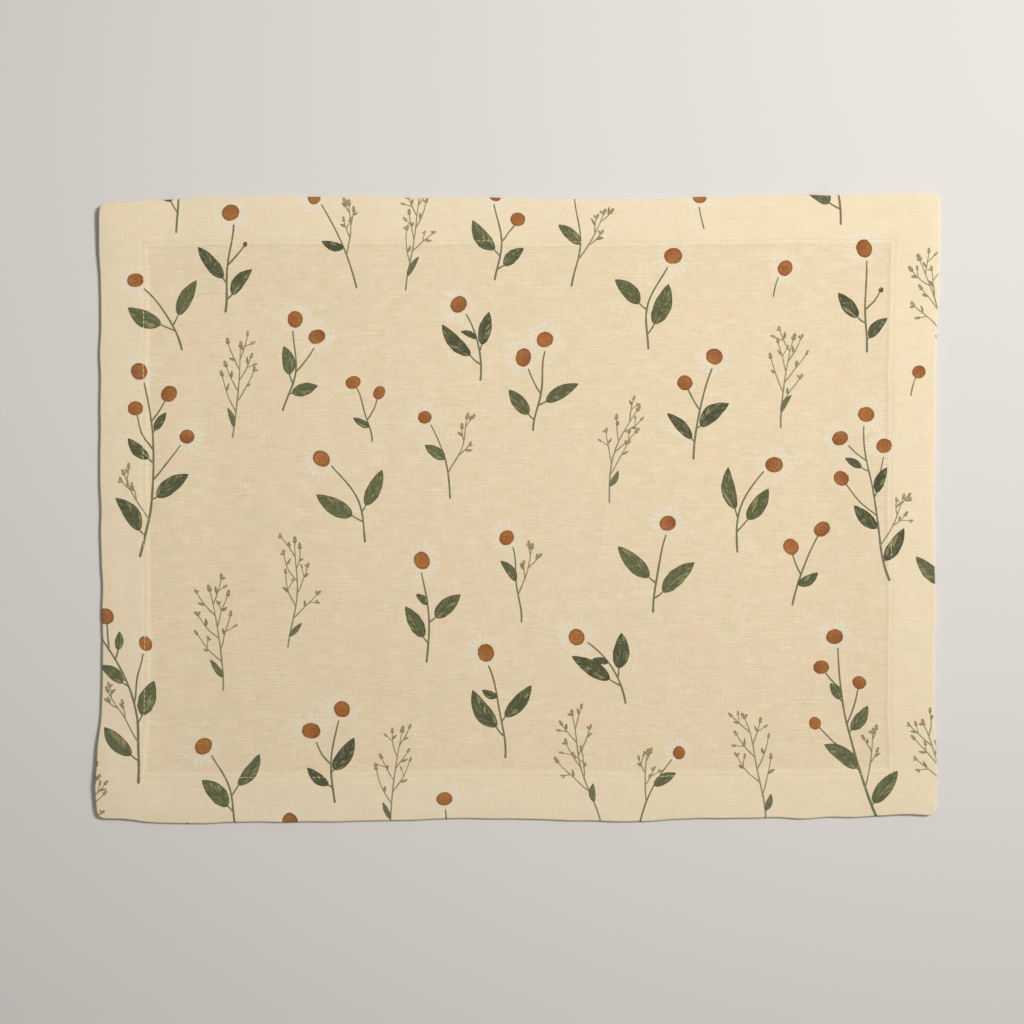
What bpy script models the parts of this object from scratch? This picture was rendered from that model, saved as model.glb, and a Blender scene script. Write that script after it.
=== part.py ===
"""A printed linen placemat with a turned hem, laid flat on a table.

Lengths are in metres and +Z is up. The origin is on the table top under the middle of
the mat's outline, +X runs along the long side to the right and +Y runs away to the far
side. The mat is one piece of cloth, so it is one solid: a grid with a row of points
wherever the cloth changes, thickened upwards from the table and rounded at its folded
edge.
"""

from collections import namedtuple

import bpy
import numpy as np

MM = 0.001

# The mat as it is sewn
WIDTH = 450 * MM
DEPTH = 334 * MM
CORNER_RADIUS = 4.5 * MM
HEM_WIDTH = 25 * MM
HEM_STEP = 1.6 * MM  # how wide the slope is where the hem ends and the single cloth begins
CLOTH_THICKNESS = 1.0 * MM
HEM_THICKNESS = 1.8 * MM
FOLD_RADIUS = 0.6 * MM

# Where the grid's lines run: these far in from the folded edge, and evenly in the middle
LINES_FROM_EDGE = (
    0.0,
    CORNER_RADIUS / 2,
    CORNER_RADIUS,
    HEM_WIDTH / 2,
    HEM_WIDTH - HEM_STEP / 2,
    HEM_WIDTH + HEM_STEP / 2,
)
MIDDLE_SPACING = 14 * MM
EDGE_FADE = 3  # the power at which an edge's wander dies out towards the middle

# The folded edges wander. Each row is a place along an edge, as a share of half its length
# measured from its middle, and how far out of true the fold stands there, in mm.
Wander = namedtuple("Wander", "share out")
FAR_EDGE = (
    Wander(share=-1.00, out=-3.0),
    Wander(share=-0.88, out=-1.5),
    Wander(share=-0.74, out=0.3),
    Wander(share=-0.10, out=0.3),
    Wander(share=0.22, out=-0.5),
    Wander(share=0.55, out=1.2),
    Wander(share=0.85, out=2.4),
    Wander(share=1.00, out=2.9),
)
NEAR_EDGE = (
    Wander(share=-1.00, out=-0.9),
    Wander(share=-0.86, out=1.8),
    Wander(share=-0.70, out=2.2),
    Wander(share=-0.42, out=1.2),
    Wander(share=-0.08, out=0.0),
    Wander(share=0.22, out=1.5),
    Wander(share=0.50, out=-0.2),
    Wander(share=0.78, out=-0.7),
    Wander(share=0.91, out=-2.2),
    Wander(share=1.00, out=-1.9),
)
LEFT_EDGE = (
    Wander(share=-1.00, out=0.8),
    Wander(share=-0.88, out=2.0),
    Wander(share=-0.72, out=-0.2),
    Wander(share=-0.58, out=-1.2),
    Wander(share=-0.30, out=-1.7),
    Wander(share=0.10, out=-0.3),
    Wander(share=0.67, out=-0.4),
    Wander(share=1.00, out=0.0),
)
RIGHT_EDGE = (
    Wander(share=-1.00, out=0.2),
    Wander(share=-0.88, out=0.8),
    Wander(share=-0.62, out=-0.6),
    Wander(share=-0.42, out=0.0),
    Wander(share=0.05, out=-0.5),
    Wander(share=0.55, out=0.5),
    Wander(share=0.82, out=2.0),
    Wander(share=1.00, out=2.2),
)

# Where the hem stands off the table: a place as shares of the half sides, the height
# there in mm, and how far away the cloth is down flat again, in mm.
Lift = namedtuple("Lift", "right far height reach")
LIFTS = (
    Lift(right=-1.00, far=1.00, height=2.2, reach=62),
    Lift(right=-1.00, far=-0.88, height=2.0, reach=54),
    Lift(right=-1.00, far=0.28, height=0.5, reach=44),
    Lift(right=-0.30, far=-1.00, height=0.4, reach=40),
    Lift(right=0.22, far=-1.00, height=0.7, reach=46),
    Lift(right=0.94, far=-1.00, height=1.2, reach=44),
    Lift(right=1.00, far=0.86, height=0.8, reach=40),
    Lift(right=0.52, far=1.00, height=0.5, reach=42),
)

# A hem is stiffer than the cloth it edges, so its rim stands a little off the table all
# round. The cloth comes down flat on a bowed line, this far in at the corners and this much
# further in at the middle of each side.
RIM_RISE = 0.5 * MM
REST_MARGIN = 20 * MM
REST_BOW = 40 * MM

LINEN_CREAM = 0xE6D5B2
LINEN_ROUGHNESS = 0.9


def clear_scene():
    for thing in list(bpy.data.objects):
        bpy.data.objects.remove(thing, do_unlink=True)


def linear_colour(srgb_hex):
    """The linear RGBA of a colour that is written as an sRGB hex number."""
    shares = [((srgb_hex >> shift) & 0xFF) / 255 for shift in (16, 8, 0)]
    return [s / 12.92 if s <= 0.04045 else ((s + 0.055) / 1.055) ** 2.4 for s in shares] + [1.0]


def linen_material():
    material = bpy.data.materials.new("unbleached_linen")
    material.use_nodes = True
    surface = material.node_tree.nodes["Principled BSDF"]
    surface.inputs["Base Color"].default_value = linear_colour(LINEN_CREAM)
    surface.inputs["Roughness"].default_value = LINEN_ROUGHNESS
    surface.inputs["Metallic"].default_value = 0.0
    return material


def wander_at(edge, share):
    """How far out an edge stands, in metres, on a smooth curve through its rows."""
    at = np.array([row.share for row in edge])
    out = np.array([row.out for row in edge])
    slope = np.gradient(out, at)
    row = np.clip(np.searchsorted(at, share) - 1, 0, len(at) - 2)
    gap = at[row + 1] - at[row]
    t = (share - at[row]) / gap
    start = out[row] * (1 + 2 * t) * (1 - t) ** 2 + slope[row] * gap * t * (1 - t) ** 2
    end = out[row + 1] * t**2 * (3 - 2 * t) - slope[row + 1] * gap * t**2 * (1 - t)
    return (start + end) * MM


def grid_lines(side):
    """Where the lines across one side run: close together in the hem, even in the middle."""
    half = side / 2
    near = np.array(LINES_FROM_EDGE)
    inner = half - near[-1]
    steps = round(2 * inner / MIDDLE_SPACING)
    middle = np.linspace(-inner, inner, steps + 1)
    return np.concatenate([near[:-1] - half, middle, half - near[-2::-1]])


def round_corners(x, y):
    """Draws the four square corners of the flat rectangle in to quarter circles."""
    past_x = np.clip(np.abs(x) - (WIDTH / 2 - CORNER_RADIUS), 0, None) / CORNER_RADIUS
    past_y = np.clip(np.abs(y) - (DEPTH / 2 - CORNER_RADIUS), 0, None) / CORNER_RADIUS
    drawn_x = past_x * (1 - np.sqrt(1 - past_y**2 / 2))
    drawn_y = past_y * (1 - np.sqrt(1 - past_x**2 / 2))
    return (
        x - np.sign(x) * drawn_x * CORNER_RADIUS,
        y - np.sign(y) * drawn_y * CORNER_RADIUS,
    )


def move_edges(x, y):
    """Moves each side out or in by its wander, less and less towards the middle."""
    right = np.clip(2 * x / WIDTH, -1, 1)
    far = np.clip(2 * y / DEPTH, -1, 1)
    out_x = np.where(right > 0, wander_at(RIGHT_EDGE, far), -wander_at(LEFT_EDGE, far))
    out_y = np.where(far > 0, wander_at(FAR_EDGE, right), -wander_at(NEAR_EDGE, right))
    return x + out_x * np.abs(right) ** EDGE_FADE, y + out_y * np.abs(far) ** EDGE_FADE


def rim_rise_at(x, y):
    """How far the underside stands off the table outside the bowed line it comes down on."""
    right = np.clip(2 * x / WIDTH, -1, 1)
    far = np.clip(2 * y / DEPTH, -1, 1)
    rest_x = WIDTH / 2 - REST_MARGIN - REST_BOW * (1 - far**2)
    rest_y = DEPTH / 2 - REST_MARGIN - REST_BOW * (1 - right**2)
    past_x = (np.abs(x) - rest_x) / (WIDTH / 2 - rest_x)
    past_y = (np.abs(y) - rest_y) / (DEPTH / 2 - rest_y)
    return RIM_RISE * np.clip(np.maximum(past_x, past_y), 0, None)


def lift_at(x, y):
    """How far the underside stands off the table: the rim's rise, or the highest lift there."""
    height = rim_rise_at(x, y)
    for lift in LIFTS:
        away = np.hypot(x - lift.right * WIDTH / 2, y - lift.far * DEPTH / 2) / (lift.reach * MM)
        fall = np.where(away < 1, (1 + np.cos(np.pi * np.clip(away, 0, 1))) / 2, 0.0)
        height = np.maximum(height, lift.height * MM * fall)
    return height


def make_placemat(material):
    """The cloth with its hem, flat on the table but for the places where the hem lifts."""
    lines_x = grid_lines(WIDTH)
    lines_y = grid_lines(DEPTH)
    bpy.ops.mesh.primitive_grid_add(
        x_subdivisions=len(lines_x) - 1,
        y_subdivisions=len(lines_y) - 1,
        size=2,
    )
    placemat = bpy.context.object
    placemat.name = placemat.data.name = "placemat"
    mesh = placemat.data

    points = np.empty(len(mesh.vertices) * 3, np.float32)
    mesh.vertices.foreach_get("co", points)
    points = points.reshape(-1, 3)
    column = np.rint((points[:, 0] + 1) / 2 * (len(lines_x) - 1)).astype(int)
    row = np.rint((points[:, 1] + 1) / 2 * (len(lines_y) - 1)).astype(int)
    flat_x, flat_y = lines_x[column], lines_y[row]
    x, y = move_edges(*round_corners(flat_x, flat_y))
    height = lift_at(x, y)
    x -= (x.min() + x.max()) / 2
    y -= (y.min() + y.max()) / 2
    mesh.vertices.foreach_set("co", np.stack([x, y, height], axis=1).ravel())
    mesh.update()

    from_edge = np.minimum(WIDTH / 2 - np.abs(flat_x), DEPTH / 2 - np.abs(flat_y))
    in_hem = [int(i) for i in np.flatnonzero(from_edge < HEM_WIDTH)]
    placemat.vertex_groups.new(name="hem").add(in_hem, 1.0, "REPLACE")

    layers = placemat.modifiers.new("layers of cloth", "SOLIDIFY")
    layers.thickness = HEM_THICKNESS
    layers.offset = 1
    layers.vertex_group = "hem"
    layers.thickness_vertex_group = CLOTH_THICKNESS / HEM_THICKNESS
    fold = placemat.modifiers.new("folded edge", "BEVEL")
    fold.width = FOLD_RADIUS
    fold.segments = 2
    fold.limit_method = "ANGLE"
    fold.angle_limit = np.radians(60)

    mesh.materials.append(material)
    mesh.shade_smooth()
    return placemat


def main():
    clear_scene()
    placemat = make_placemat(linen_material())
    collection = bpy.data.collections.new("Fabric placemat")
    bpy.context.scene.collection.children.link(collection)
    for other in list(placemat.users_collection):
        other.objects.unlink(placemat)
    collection.objects.link(placemat)


main()
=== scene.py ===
"""A printed linen placemat with a turned, stitched hem, lying on a pale table.

Lengths are in millimetres until a mesh is made, which is in metres. The flat cloth has its
origin in the middle of the finished mat, x to the right and y to the far side, and what lies
outside the finished mat is the hem before it is turned under. The print is drawn on the flat
cloth, cut into its faces, and folded and laid with it. Points are rows of x and y.
"""

from collections import namedtuple
from functools import partial
from itertools import product

import bpy
import numpy as np
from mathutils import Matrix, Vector
from mathutils.geometry import delaunay_2d_cdt


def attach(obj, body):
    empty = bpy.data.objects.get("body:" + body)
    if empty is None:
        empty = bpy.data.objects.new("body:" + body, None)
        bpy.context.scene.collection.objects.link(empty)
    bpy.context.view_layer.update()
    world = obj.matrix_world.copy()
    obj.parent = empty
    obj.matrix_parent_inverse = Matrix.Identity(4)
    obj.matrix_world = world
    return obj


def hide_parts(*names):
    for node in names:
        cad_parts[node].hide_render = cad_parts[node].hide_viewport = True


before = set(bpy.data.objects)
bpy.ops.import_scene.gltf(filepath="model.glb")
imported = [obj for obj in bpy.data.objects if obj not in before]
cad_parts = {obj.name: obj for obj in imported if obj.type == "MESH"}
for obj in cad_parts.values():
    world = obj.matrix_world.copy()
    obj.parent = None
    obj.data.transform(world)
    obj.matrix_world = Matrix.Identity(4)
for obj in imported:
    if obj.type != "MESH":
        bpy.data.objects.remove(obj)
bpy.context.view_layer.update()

MM = 0.001
TURN = 2 * np.pi
UP = np.pi / 2

# The mat as it is sewn
WIDTH = 450.0
DEPTH = 334.0
HALF = np.array([WIDTH, DEPTH]) / 2
CORNER_RADIUS = 4.5
HEM_WIDTH = 25.0
TURN_IN = 6.0  # the raw edge, turned in inside the hem
CUT_WIDTH = WIDTH + 2 * (HEM_WIDTH + TURN_IN)
CUT_DEPTH = DEPTH + 2 * (HEM_WIDTH + TURN_IN)
LINEN = 0.55  # the thickness of one layer
HEM_THICKNESS = 1.8  # three layers, pressed
STITCH_LINE = 23.4  # from the folded edge
STITCH_PITCH = 2.6

# How the top dips beside the hem: the step down to the single layer, and its sag to the table
HEM_STEP = (24.6, 27.2)
SINGLE_TOP = 1.50
SAG = (27.0, 64.0)
TABLE_TOP = 0.60
SEAM_DIP = 0.10
SEAM_REACH = 0.8
LAYERS_END = (24.8, 26.4)  # where the lighter look of the hem's layers ends

# The underside: the steep inner edge of the hem, and the folded corners
HEM_EDGE = (25.0, 25.3)
MITRE_DEPTH = 0.30
MITRE_REACH = 0.55
MITRE_START = 2.0  # how far from the corner a mitre reaches its depth
LEAST_GAP = 0.02  # what keeps the cloth off the table in the middle

# Where the mat lies uneven, as in the solid
RIM_RISE = 0.5
REST_MARGIN = 20.0
REST_BOW = 40.0
EDGE_FADE = 3

# How the folds wander: places along an edge, as shares of half its length, and how far out the
# fold stands there
FAR_EDGE = (
    (-1.00, -3.0), (-0.88, -1.5), (-0.74, 0.3), (-0.10, 0.3), (0.22, -0.5), (0.55, 1.2),
    (0.85, 2.4), (1.00, 2.9),
)
NEAR_EDGE = (
    (-1.00, -0.9), (-0.86, 1.8), (-0.70, 2.2), (-0.42, 1.2), (-0.08, 0.0), (0.22, 1.5),
    (0.50, -0.2), (0.78, -0.7), (0.91, -2.2), (1.00, -1.9),
)
LEFT_EDGE = (
    (-1.00, 0.8), (-0.88, 2.0), (-0.72, -0.2), (-0.58, -1.2), (-0.30, -1.7), (0.10, -0.3),
    (0.67, -0.4), (1.00, 0.0),
)
RIGHT_EDGE = (
    (-1.00, 0.2), (-0.88, 0.8), (-0.62, -0.6), (-0.42, 0.0), (0.05, -0.5), (0.55, 0.5),
    (0.82, 2.0), (1.00, 2.2),
)
EDGES = ((LEFT_EDGE, RIGHT_EDGE), (NEAR_EDGE, FAR_EDGE))

# The small ripples of a fold besides its wander
RIPPLE = 0.45
RIPPLE_LENGTH = 14.0
RIPPLE_ROWS = (5, 90)  # which rows of the noise the high and the low edge of a pair follow
RIPPLE_SEEDS = (16, 17)

# Where the hem stands off the table: a place as shares of the half sides, the height there,
# and how far away the cloth is down flat again
Lift = namedtuple("Lift", "place height reach")
LIFTS = (
    Lift((-1.00, 1.00), 2.2, 62),
    Lift((-1.00, -0.88), 2.0, 54),
    Lift((-1.00, 0.28), 0.5, 44),
    Lift((-0.30, -1.00), 0.4, 40),
    Lift((0.22, -1.00), 0.7, 46),
    Lift((0.94, -1.00), 1.2, 44),
    Lift((1.00, 0.86), 0.8, 40),
    Lift((0.52, 1.00), 0.5, 42),
)

# The waves of the top: how high, how wide and deep each is, and how far in from the fold they
# start and are in full
Wave = namedtuple("Wave", "height cells start full seed")
WAVES = (
    Wave(0.26, (52, 44), 24, 60, 11),  # of the single cloth
    Wave(0.05, (17, 14), 24, 50, 12),
    Wave(0.13, (19, 16), 30, 22, 13),  # of the hem, outwards from its inner edge
)
FLAT_FOLD = 6.0  # the waves die out over this much beside the fold
PUCKER_HEIGHT = 0.075
PUCKER_CELLS = (13, 4.5)  # along a pucker, which runs across the seam, and across it
PUCKER_SEEDS = (14, 15)
PUCKER_REACH = 7.5
PUCKER_TURN = 4.0  # they turn from one side's way to the next one's over this much


def linear_colour(srgb_hex):
    """The linear RGBA of a colour that is written as an sRGB hex number."""
    shares = [((srgb_hex >> shift) & 0xFF) / 255 for shift in (16, 8, 0)]
    return [s / 12.92 if s <= 0.04045 else ((s + 0.055) / 1.055) ** 2.4 for s in shares] + [1.0]


def fill(node, inputs):
    """Sets a node's inputs, in order or by name. A node or a socket is linked to its input."""
    for socket, value in inputs.items() if isinstance(inputs, dict) else enumerate(inputs):
        if isinstance(value, bpy.types.Node):
            value = next(output for output in value.outputs if output.enabled)
        if isinstance(value, bpy.types.NodeSocket):
            node.id_data.links.new(value, node.inputs[socket])
        else:
            node.inputs[socket].default_value = value


def add(tree, kind, inputs=(), **settings):
    """Adds a node with its settings and its inputs."""
    node = tree.nodes.new("ShaderNode" + kind)
    for name, value in settings.items():
        setattr(node, name, value)
    fill(node, inputs)
    return node


def new_material(name):
    """A material of that name, what adds a node to it, and its shader."""
    material = bpy.data.materials.new(name)
    material.use_nodes = True
    tree = material.node_tree
    return material, partial(add, tree), tree.nodes["Principled BSDF"]


def into_scene(data):
    """An object of a mesh, lamp or camera, under its name."""
    thing = bpy.data.objects.new(data.name, data)
    bpy.context.scene.collection.objects.link(thing)
    return thing


# ---- camera, light and table -------------------------------------------------------------

PICTURE = 1024  # pixels
PIXEL = 0.5396  # mm on the table
MAT_IN_PICTURE = (517.5, 508.5)  # where the middle of the mat's outline is, in pixels
LENS = 50.0
SENSOR = 36.0


def place_camera():
    """Looks straight down from where the photograph was taken."""
    data = bpy.data.cameras.new("camera above the table")
    data.lens = LENS
    data.sensor_width = SENSOR
    camera = into_scene(data)
    right = (PICTURE / 2 - MAT_IN_PICTURE[0]) * PIXEL
    far = (MAT_IN_PICTURE[1] - PICTURE / 2) * PIXEL
    height = PICTURE * PIXEL * LENS / SENSOR
    camera.location = (right * MM, far * MM, height * MM)
    bpy.context.scene.camera = camera


KEY_PLACE = Vector((0.90, 0.45, 1.15))  # metres
KEY_AIM = Vector((-0.31, 0.08, 0.0))
KEY_SPREAD = 110.0  # degrees: the light falls off outwards, as in the photo
KEY_SIDE = 0.36
KEY_WATTS = 8.15
FILL_COLOUR = 0xFFFFFF
FILL_STRENGTH = 0.257


def light_the_table():
    """One soft white lamp above the far right corner and a pale even sky."""
    data = bpy.data.lights.new("soft lamp", "AREA")
    data.shape = "SQUARE"
    data.size = KEY_SIDE
    data.spread = np.radians(KEY_SPREAD)
    data.energy = KEY_WATTS
    lamp = into_scene(data)
    lamp.location = KEY_PLACE
    lamp.rotation_euler = (KEY_AIM - KEY_PLACE).to_track_quat("-Z", "Y").to_euler()

    sky = bpy.data.worlds.new("pale sky")
    sky.use_nodes = True
    fill(sky.node_tree.nodes["Background"], {
        "Color": linear_colour(FILL_COLOUR), "Strength": FILL_STRENGTH,
    })
    bpy.context.scene.world = sky
    bpy.context.scene.view_settings.view_transform = "Standard"


TABLE_SIDE = 8.0  # metres
TABLE_COLOUR = 0xDDD9D2
TABLE_ROUGHNESS = 0.85


def lay_table():
    """A plain pale table top, matt like painted board."""
    bpy.ops.mesh.primitive_plane_add(size=TABLE_SIDE)
    table = bpy.context.object
    table.name = table.data.name = "table_top"
    material, _, surface = new_material("painted board")
    fill(surface, {"Base Color": linear_colour(TABLE_COLOUR), "Roughness": TABLE_ROUGHNESS})
    table.data.materials.append(material)


# ---- how the finished mat lies -----------------------------------------------------------

LATTICE = 256  # noise repeats after this many cells
NEARBY = 0.02  # how far to each side a surface is felt for the way it faces


def eased(value, low, high):
    """0 at low and beyond it, 1 at high and beyond it, and smooth between them."""
    t = np.clip((value - low) / (high - low), 0, 1)
    return t * t * (3 - 2 * t)


def soft_noise(points, cells, seed):
    """Smooth random heights between -1 and 1, with cells that wide and deep."""
    lattice = np.random.default_rng(seed).uniform(-1, 1, (LATTICE, LATTICE))
    place = points / cells
    corner = np.floor(place).astype(int)
    u, v = eased(place - corner, 0, 1).T
    (column, row), (right, far) = corner.T % LATTICE, (corner.T + 1) % LATTICE
    near_row = lattice[row, column] * (1 - u) + lattice[row, right] * u
    far_row = lattice[far, column] * (1 - u) + lattice[far, right] * u
    return near_row * (1 - v) + far_row * v


def wander_at(edge, share):
    """How far out an edge stands, on a smooth curve through its places."""
    at, out = np.array(edge).T
    slope = np.gradient(out, at)
    row = np.clip(np.searchsorted(at, share) - 1, 0, len(at) - 2)
    gap = at[row + 1] - at[row]
    t = (share - at[row]) / gap
    start = out[row] * (1 + 2 * t) * (1 - t) ** 2 + slope[row] * gap * t * (1 - t) ** 2
    end = out[row + 1] * t**2 * (3 - 2 * t) - slope[row + 1] * gap * t**2 * (1 - t)
    return start + end


def round_corners(points):
    """Draws the four square corners of the flat rectangle in to quarter circles."""
    past = np.clip(np.abs(points) - (HALF - CORNER_RADIUS), 0, None) / CORNER_RADIUS
    drawn = past * (1 - np.sqrt(1 - past[:, ::-1] ** 2 / 2))
    return points - np.sign(points) * drawn * CORNER_RADIUS


def move_edges(points):
    """Moves each side out or in by its wander, less and less towards the middle."""
    share = np.clip(points / HALF, -1, 1)
    out = np.empty_like(share)
    for axis, (low_edge, high_edge) in enumerate(EDGES):
        along = share[:, 1 - axis]
        high, low = wander_at(high_edge, along), -wander_at(low_edge, along)
        row, cells = points.copy(), np.ones(2)
        row[:, axis] = np.where(points[:, axis] > 0, *RIPPLE_ROWS)
        cells[1 - axis] = RIPPLE_LENGTH
        ripple = RIPPLE * soft_noise(row, cells, RIPPLE_SEEDS[axis])
        out[:, axis] = np.where(share[:, axis] > 0, high, low) + ripple
    return points + out * np.abs(share) ** EDGE_FADE


def lift_at(points):
    """How far the underside stands off the table: the highest lift there, or the rise of the
    rim outside the bowed line that the cloth comes down on."""
    share = np.clip(points / HALF, -1, 1)
    rest = HALF - REST_MARGIN - REST_BOW * (1 - share[:, ::-1] ** 2)
    past = (np.abs(points) - rest) / (HALF - rest)
    height = RIM_RISE * np.clip(past.max(axis=1), 0, None)
    for lift in LIFTS:
        away = np.hypot(*(points - lift.place * HALF).T) / lift.reach
        fall = (1 + np.cos(np.pi * np.clip(away, 0, 1))) / 2
        height = np.maximum(height, lift.height * fall)
    return height


def middle_of_outline():
    """The middle of the box round the moved outline, which is the mat's origin."""
    share = np.linspace(-1, 1, 401)
    side = np.ones_like(share)
    sides = ((share, side), (share, -side), (side, share), (-side, share))
    flat = np.concatenate([np.stack(places, axis=1) for places in sides]) * HALF
    outline = move_edges(round_corners(flat))
    return (outline.min(axis=0) + outline.max(axis=0)) / 2


MIDDLE = middle_of_outline()


def from_fold(points):
    """How far in from the nearest folded edge points of the finished mat are."""
    return (HALF - np.abs(points)).min(axis=1)


def beside_mitre(points):
    """How far points are past the line that halves their corner, towards the left or right."""
    x, y = np.abs(points).T
    return y - x - (DEPTH - WIDTH) / 2


def unevenness(points):
    """How far the top stands above its even height: waves, hem humps and puckers at the seam."""
    inside = from_fold(points)
    waves = sum(
        wave.height * (1 + soft_noise(points, wave.cells, wave.seed))
        * eased(inside, wave.start, wave.full)
        for wave in WAVES
    )
    left_right, near_far = (
        soft_noise(points, PUCKER_CELLS[::way], seed) for way, seed in zip((1, -1), PUCKER_SEEDS)
    )
    share = eased(beside_mitre(points), -PUCKER_TURN, PUCKER_TURN)
    puckers = PUCKER_HEIGHT * (left_right * (1 - share) + near_far * share)
    puckers *= np.exp(-(((inside - STITCH_LINE) / PUCKER_REACH) ** 2))
    return waves * eased(inside, 0, FLAT_FOLD) + puckers


def fold_bulge(inside):
    """How far the rounded fold stands above or below the middle of the hem's thickness."""
    radius = HEM_THICKNESS / 2
    return np.sqrt(np.clip(radius**2 - (radius - np.minimum(inside, radius)) ** 2, 0, None))


def seam_dip(inside):
    """How deep the stitches draw the cloth in along the seam."""
    return SEAM_DIP * np.exp(-(((inside - STITCH_LINE) / SEAM_REACH) ** 2))


def top_height(points):
    """The top of the finished mat above its lift."""
    inside = from_fold(points)
    height = HEM_THICKNESS / 2 + fold_bulge(inside) - seam_dip(inside)
    height -= (HEM_THICKNESS - SINGLE_TOP) * eased(inside, *HEM_STEP)
    height -= (SINGLE_TOP - TABLE_TOP) * eased(inside, *SAG)
    return height + unevenness(points)


def under_height(points):
    """The underside of the finished mat above its lift."""
    inside = from_fold(points)
    single = np.maximum(top_height(points) - LINEN, LEAST_GAP)
    hem = HEM_THICKNESS / 2 - fold_bulge(inside) + LEAST_GAP + seam_dip(inside)
    to_mitre = beside_mitre(points) / np.sqrt(2)
    hem += MITRE_DEPTH * np.exp(-((to_mitre / MITRE_REACH) ** 2)) * eased(inside, 0, MITRE_START)
    inner = eased(inside, *HEM_EDGE)
    return hem * (1 - inner) + single * inner


def lay(points, height):
    """The place in metres of points of the finished mat that are that high above its lift."""
    moved = move_edges(round_corners(points))
    return np.column_stack([moved - MIDDLE, height + lift_at(moved)]) * MM


def facing(points, height_at):
    """Which way a laid surface faces, from how it runs a little to each side."""
    right, left, far, back = (
        lay(points + step, height_at(points + step))
        for step in NEARBY * np.array([(1, 0), (-1, 0), (0, 1), (0, -1)])
    )
    upward = np.cross(right - left, far - back)
    return upward / np.linalg.norm(upward, axis=1, keepdims=True)


# ---- the print ---------------------------------------------------------------------------
# An all-over scatter of daisies, leaf sprigs and budding twigs, each drawn by its own rule.

PETALS, STEMS, LEAVES, FLOWERS = range(4)  # printed in this order

LEAF_INKS = (0x364026, 0x3F4A2A, 0x49532F, 0x535C37)
STEM_INK = 0x676A4B
TWIG_INK = 0x8A8663
BRACT_INKS = (0x787853, 0x8C875F)
CENTRE_INKS = (0xA05618, 0xAB5E1C, 0xB56922)
BUD_INKS = (0xA8742D, 0xAE7F34, 0x947E3E)
DOT_INK = 0x3E4630
PETAL_INK = 0xF3F0DF

# How much of the cloth each ink covers
STEM_COVER = 0.92
LEAF_COVER = 0.96
BRACT_COVER = 0.85
DISC_COVER = 0.97
BUD_COVER = 0.88
CUP_COVER = 0.66  # the green round a bud
HAZE_COVER = 0.12  # the haze under a daisy's petals

STEM_STEP = 3.2  # mm from point to point
STEM_SWAY = 0.22  # radians
STEM_WAVER = 0.12  # of its width
LEAF_PLACES = np.array([0.03, 0.1, 0.2, 0.32, 0.45, 0.58, 0.7, 0.81, 0.91])
LEAF_WAVER = 0.05  # of its width
LEAF_BEND = 0.09  # of its length
SMALL_LEAF = 8.0  # up to this length, every other place is enough
SMALL_DISC = 2.5
HAZE_REACH = 1.9  # of the disc's radius, as are the petals' start, ends and half widths
PETAL_START = 1.12
PETAL_ENDS = (2.05, 2.65)
PETAL_HALVES = (0.15, 0.22)
PETAL_ALONG = np.array([0, 0.3, 0.7, 0.94, 1, 0.94, 0.7, 0.3])
PETAL_ACROSS = np.array([0, -0.65, -1, -0.6, 0, 0.6, 1, 0.65])
PETAL_LEAST = 0.08  # petals that would show less are left out

Shape = namedtuple(
    "Shape", "kind layer outline inner ink cover foot heading length breadth bend seed"
)
Stem = namedtuple("Stem", "line way")

PLAIN, LEAF, DISC = (0.0, 0.0), (1.0, 0.0), (0.0, 1.0)  # kinds: is it a leaf, is it a disc


def direction(heading):
    return np.stack([np.cos(heading), np.sin(heading)], axis=-1)


def turned(points, angle):
    return points @ np.array([direction(angle), direction(angle + UP)])


def blade_half(share):
    """Half the width of a leaf along its length, 1 where it is widest, drawn out to a point."""
    share = np.clip(share, 0, 1)
    return 2.67 * share**0.6 * (1 - share) ** 0.85


def bowed(share):
    """How far a bend stands out along its length: 0 at both ends and 1 in the middle."""
    return 4 * share * (1 - share)


def on_stem(stem, share):
    """The point that far along a stem and its heading there."""
    at = share * (len(stem.line) - 1)
    x, y, heading = (np.interp(at, np.arange(len(row)), row) for row in (*stem.line.T, stem.way))
    return np.array([x, y]), heading


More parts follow.
